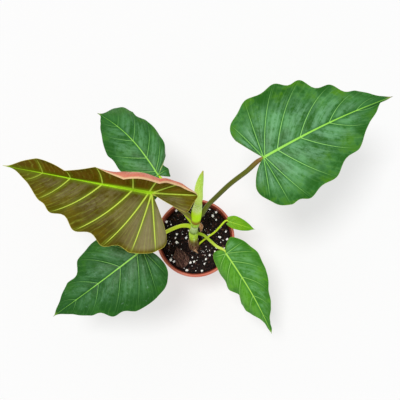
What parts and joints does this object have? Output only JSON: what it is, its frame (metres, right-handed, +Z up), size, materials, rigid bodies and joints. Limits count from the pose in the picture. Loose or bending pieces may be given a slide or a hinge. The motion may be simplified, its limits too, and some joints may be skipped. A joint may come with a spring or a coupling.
{
  "type": "potted philodendron house plant",
  "caption": "Young potted aroid house plant: large heart-shaped veined leaves on arching stalks, a leaning ringed stem and a rolled new leaf, in a round tapered nursery pot of soil.",
  "frame": {"origin": "middle of the pot's underside, on the flat disc at its centre", "axes": "+Z up out of the pot, +Y to the back, the way the stem leans, +X to the right, towards the big green leaf; the bronze leaf points to -X"},
  "size_m": [0.5439, 0.3533, 0.3206],
  "materials": {
    "terracotta_plastic": "satin moulded plastic",
    "potting_soil": "damp, coarse, matte",
    "bark": "rough, matte",
    "green_stem": "smooth, slightly waxy",
    "dry_sheath": "papery, matte",
    "young_sheath": "smooth, waxy",
    "rolled_leaf": "smooth, waxy",
    "green_leaf": "leathery, satin",
    "bronze_leaf": "thin, satin with a metallic sheen",
    "fresh_leaf": "thin, satin",
    "olive_stalk": "smooth, waxy",
    "green_stalk": "smooth, waxy"
  },
  "bodies": {
    "root": {"pot": "terracotta_plastic", "soil": "potting_soil", "bark_flake": "bark", "stem": "green_stem", "dry_sheath_collar": "dry_sheath", "sheath": "young_sheath", "rolled_leaf": "rolled_leaf", "right_leaf_blade": "green_leaf", "right_leaf_stalk": "olive_stalk", "new_bronze_leaf_blade": "bronze_leaf", "new_bronze_leaf_stalk": "green_stalk", "back_leaf_blade": "green_leaf", "back_leaf_stalk": "green_stalk", "front_left_leaf_blade": "green_leaf", "front_left_leaf_stalk": "green_stalk", "front_right_leaf_blade": "fresh_leaf", "front_right_leaf_stalk": "green_stalk", "small_leaf_blade": "fresh_leaf", "small_leaf_stalk": "green_stalk"}
  },
  "joints": []
}
